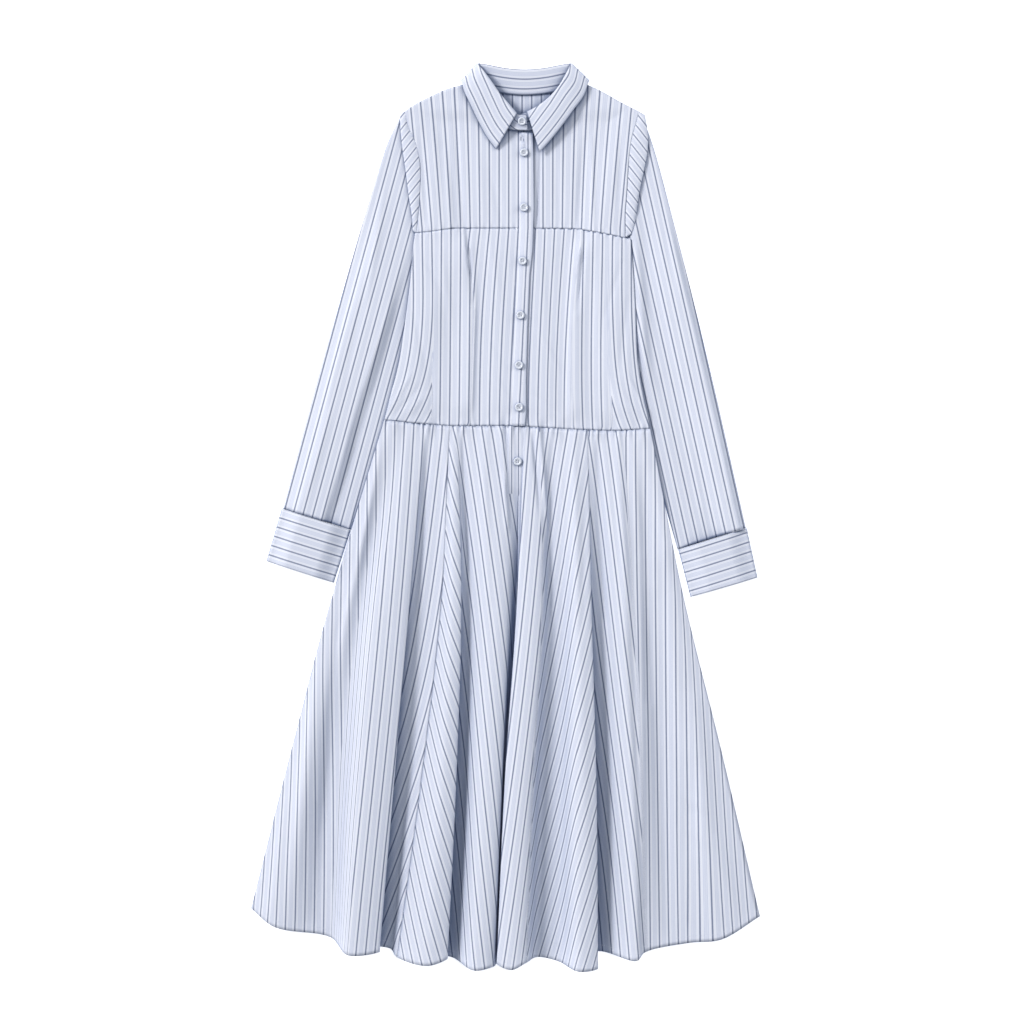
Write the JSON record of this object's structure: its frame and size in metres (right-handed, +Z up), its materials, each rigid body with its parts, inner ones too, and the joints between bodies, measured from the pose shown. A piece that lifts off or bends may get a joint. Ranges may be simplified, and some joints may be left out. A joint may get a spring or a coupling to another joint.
{
  "type": "shirt dress",
  "caption": "Flared midi shirt dress with a turned-down collar, buttoned front and long cuffed sleeves, laid flat, in fine lengthwise stripes",
  "frame": {"origin": "middle of the laid dress in plan, at the floor", "axes": "+Y from the hem to the collar, +Z up from the floor, the front of the dress faces +Z"},
  "size_m": [0.714, 1.2708, 0.0245],
  "materials": {
    "cloth": "cotton shirting, pale blue with fine slate stripes",
    "button": "white, lightly polished"
  },
  "bodies": {
    "root": {"collar_leaf": "cloth", "collar_stand": "cloth", "yoke_front_left": "cloth", "yoke_front_right": "cloth", "bodice_front_left": "cloth", "bodice_front_right": "cloth", "back_bodice": "cloth", "placket_bodice": "cloth", "placket_skirt": "cloth", "skirt_front_side_left": "cloth", "skirt_front_centre_left": "cloth", "skirt_front_centre_right": "cloth", "skirt_front_side_right": "cloth", "skirt_back": "cloth", "sleeve_head_left": "cloth", "sleeve_head_right": "cloth", "sleeve_left": "cloth", "sleeve_right": "cloth", "cuff_left": "cloth", "cuff_right": "cloth", "button_1": "button", "button_2": "button", "button_3": "button", "button_4": "button", "button_5": "button", "button_6": "button", "button_7": "button", "button_8": "button"}
  },
  "joints": []
}
